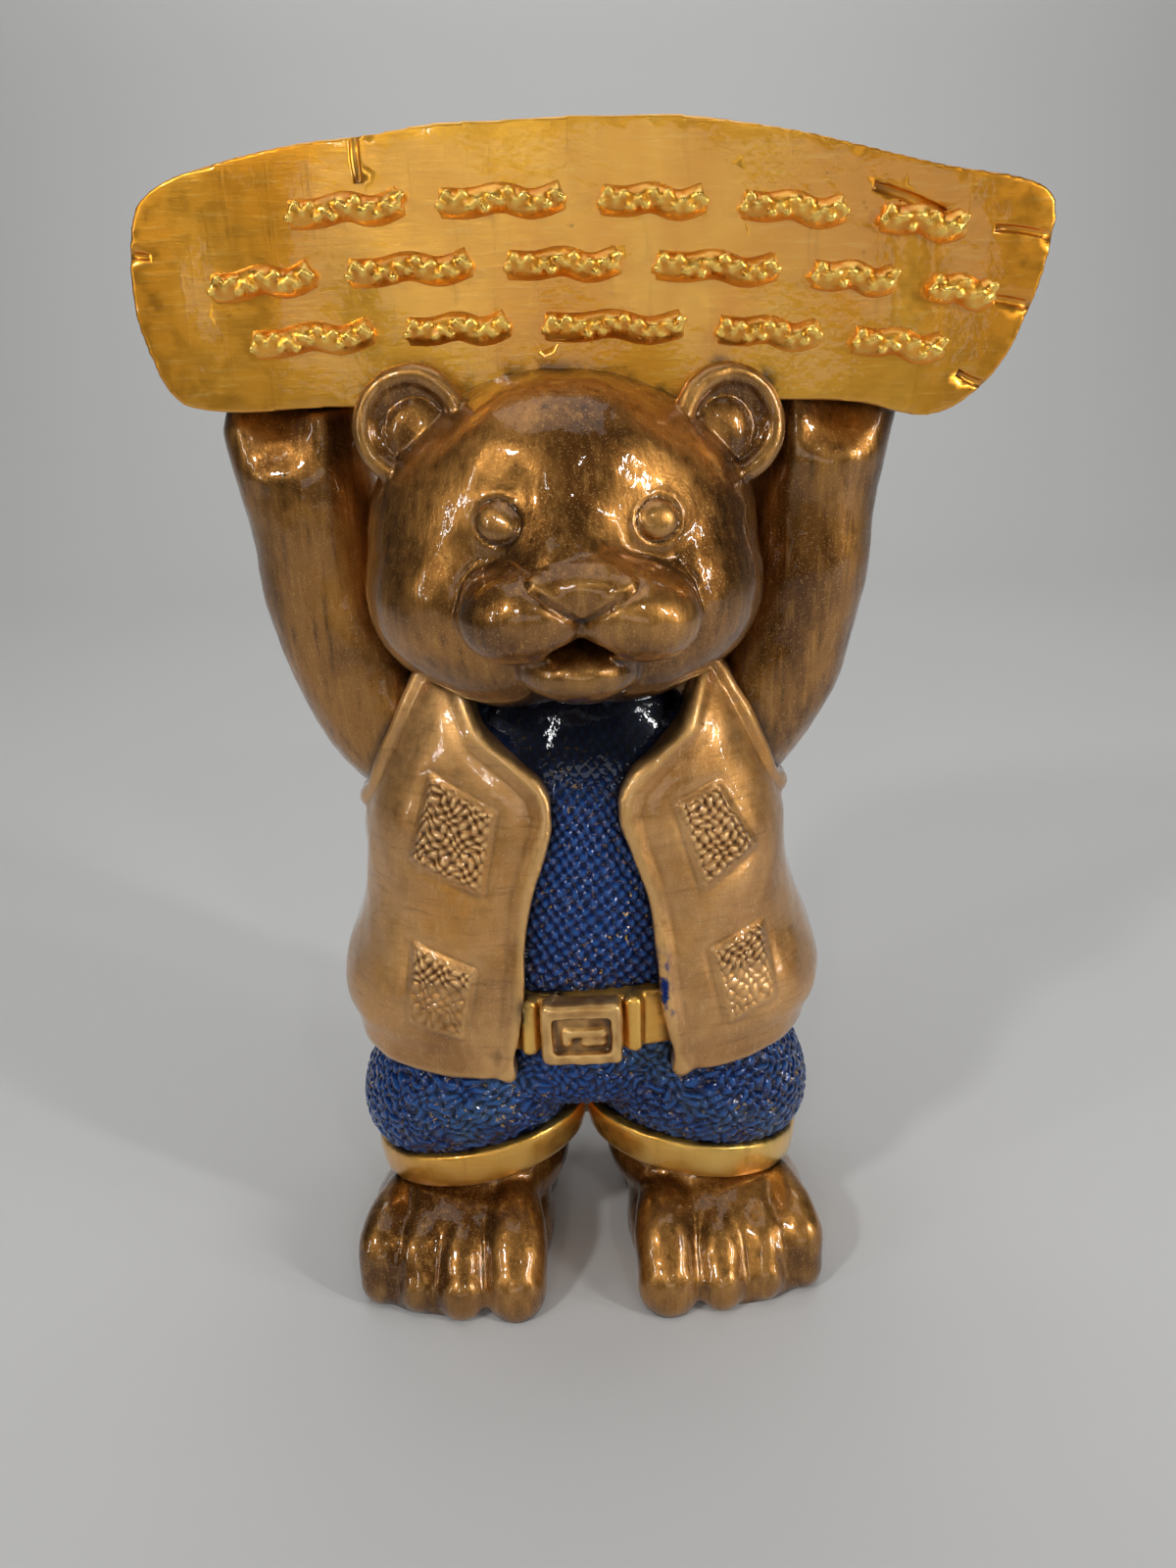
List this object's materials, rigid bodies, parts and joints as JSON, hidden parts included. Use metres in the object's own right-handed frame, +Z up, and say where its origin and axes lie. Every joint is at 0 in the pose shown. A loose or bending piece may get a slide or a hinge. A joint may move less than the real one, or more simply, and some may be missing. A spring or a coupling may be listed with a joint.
{
  "type": "bear statue",
  "caption": "Standing cast-resin bear in an open vest, shirt and cuffed trousers, holding a bowed plank sign over its head.",
  "frame": {"origin": "centre of the bounding box's foot, on the surface that the soles stand on", "axes": "+Z up, -Y the way the bear and the sign face, +X to the viewer's right"},
  "size_m": [0.266, 0.1516, 0.377],
  "materials": {
    "painted_resin": "metallic bronze, gold and blue paint under a clear gloss coat"
  },
  "bodies": {
    "root": {"bear_statue": "painted_resin"}
  },
  "joints": []
}
